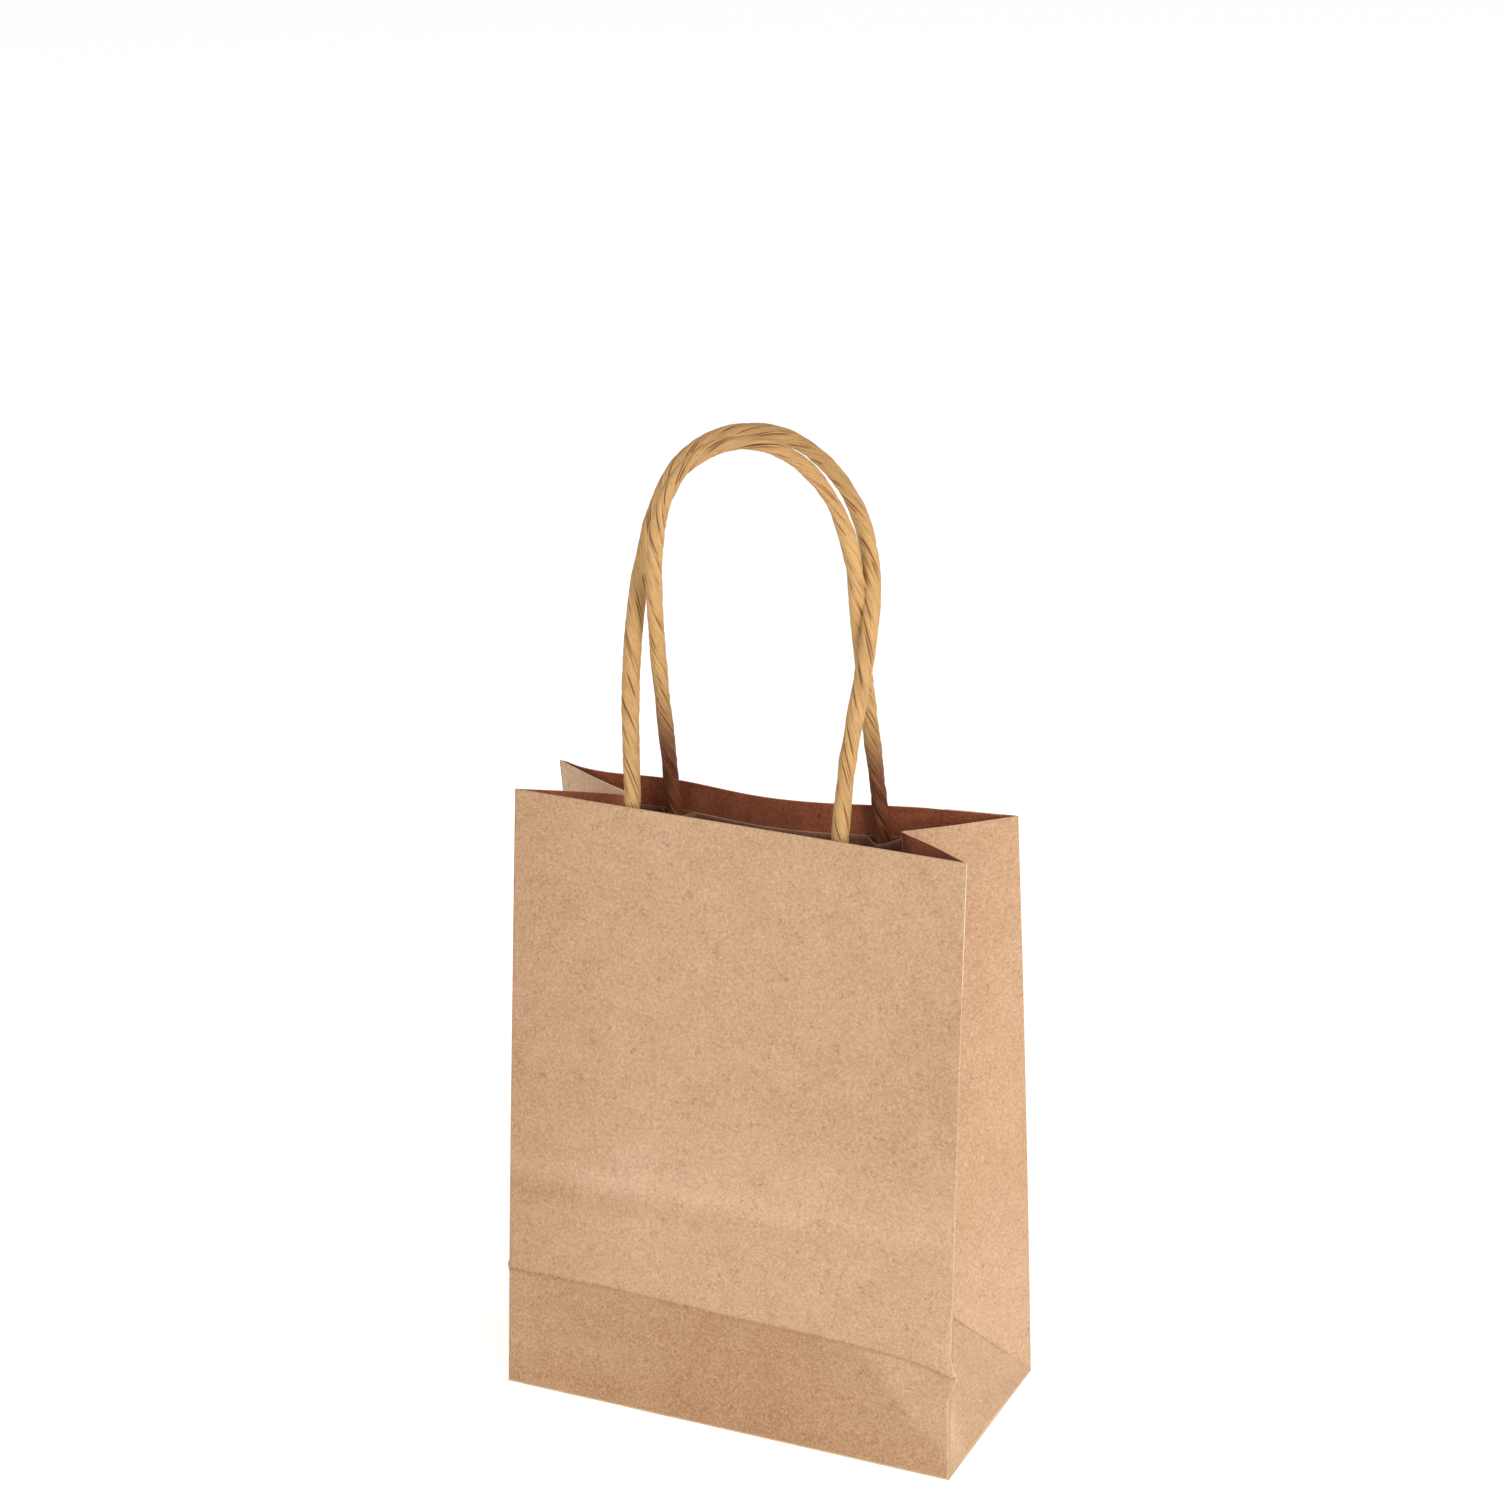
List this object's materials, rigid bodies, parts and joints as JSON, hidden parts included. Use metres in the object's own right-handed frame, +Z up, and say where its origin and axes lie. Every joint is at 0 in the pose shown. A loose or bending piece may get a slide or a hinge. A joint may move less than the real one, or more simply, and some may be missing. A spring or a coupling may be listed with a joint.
{
  "type": "gift bag",
  "caption": "Small kraft paper gift bag with a folded block bottom, side gussets, and a twisted paper cord loop on each wall held by a glued patch inside the rim.",
  "frame": {"origin": "middle of the rectangular bottom, on the surface the bag stands on", "axes": "+X to the bag's right as seen from the front wall, -Y out of the front wall, +Z up"},
  "size_m": [0.12, 0.0577, 0.249],
  "materials": {
    "bag_paper": "matte, finely mottled kraft",
    "patch_paper": "matte kraft strip",
    "cord_paper": "twisted kraft, soft sheen on the pleats"
  },
  "bodies": {
    "bag_base": {"base_front_flap": "bag_paper", "base_back_flap": "bag_paper", "base_left_tuck": "bag_paper", "base_right_tuck": "bag_paper", "left_lower_gusset": "bag_paper", "right_lower_gusset": "bag_paper"},
    "front_wall": {"front_panel": "bag_paper", "front_left_web": "bag_paper", "front_right_web": "bag_paper", "front_patch_base": "patch_paper", "front_patch_cover": "patch_paper", "front_handle_end_left": "cord_paper", "front_handle_end_right": "cord_paper"},
    "back_wall": {"back_panel": "bag_paper", "seam_flap": "bag_paper", "back_left_web": "bag_paper", "back_right_web": "bag_paper", "back_patch_base": "patch_paper", "back_patch_cover": "patch_paper", "back_handle_end_left": "cord_paper", "back_handle_end_right": "cord_paper"},
    "left_front_gusset": {"left_front_fold": "bag_paper"},
    "right_front_gusset": {"right_front_fold": "bag_paper"},
    "left_back_gusset": {"left_back_fold": "bag_paper"},
    "right_back_gusset": {"right_back_fold": "bag_paper"},
    "front_loop": {"front_handle": "cord_paper"},
    "back_loop": {"back_handle": "cord_paper"}
  },
  "joints": [
    {"name": "mouth_close", "type": "hinge", "parent": "bag_base", "child": "front_wall", "pos_m": [0, -0.02875, 0], "axis": [-1, 0, 0], "range_deg": [-3.4, 2], "stiffness_Nm_per_rad": 0.05, "springref_deg": -0.57},
    {"name": "back_wall_lean", "type": "hinge", "parent": "bag_base", "child": "back_wall", "pos_m": [0, 0.02875, 0], "axis": [1, 0, 0], "range_deg": [-3.5, 2.1]},
    {"name": "left_front_crease", "type": "hinge", "parent": "front_wall", "child": "left_front_gusset", "pos_m": [-0.05955, 0, 0], "axis": [0, 0.0842, -0.9964], "range_deg": [-20.5, 12.2]},
    {"name": "right_front_crease", "type": "hinge", "parent": "front_wall", "child": "right_front_gusset", "pos_m": [0.05955, 0, 0], "axis": [0, -0.0842, 0.9964], "range_deg": [-20.5, 12.2]},
    {"name": "left_back_crease", "type": "hinge", "parent": "back_wall", "child": "left_back_gusset", "pos_m": [-0.05955, 0, 0], "axis": [0, 0.0842, 0.9964], "range_deg": [-20.5, 12.2]},
    {"name": "right_back_crease", "type": "hinge", "parent": "back_wall", "child": "right_back_gusset", "pos_m": [0.05955, 0, 0], "axis": [0, -0.0842, -0.9964], "range_deg": [-20.5, 12.2]},
    {"name": "front_handle_swing", "type": "hinge", "parent": "front_wall", "child": "front_loop", "pos_m": [0, -0.01131, 0.15353], "axis": [-1, 0, 0], "range_deg": [-9.4, 15.8]},
    {"name": "back_handle_swing", "type": "hinge", "parent": "back_wall", "child": "back_loop", "pos_m": [0, 0.01131, 0.15353], "axis": [1, 0, 0], "range_deg": [-9.4, 15.8]}
  ],
  "couplings": [
    {"joint": "back_wall_lean", "follows": "mouth_close", "ratio": 1},
    {"joint": "left_front_crease", "follows": "mouth_close", "ratio": 6},
    {"joint": "right_front_crease", "follows": "mouth_close", "ratio": 6},
    {"joint": "left_back_crease", "follows": "mouth_close", "ratio": 6},
    {"joint": "right_back_crease", "follows": "mouth_close", "ratio": 6},
    {"joint": "front_handle_swing", "follows": "mouth_close", "ratio": -4.6},
    {"joint": "back_handle_swing", "follows": "mouth_close", "ratio": -4.6}
  ]
}
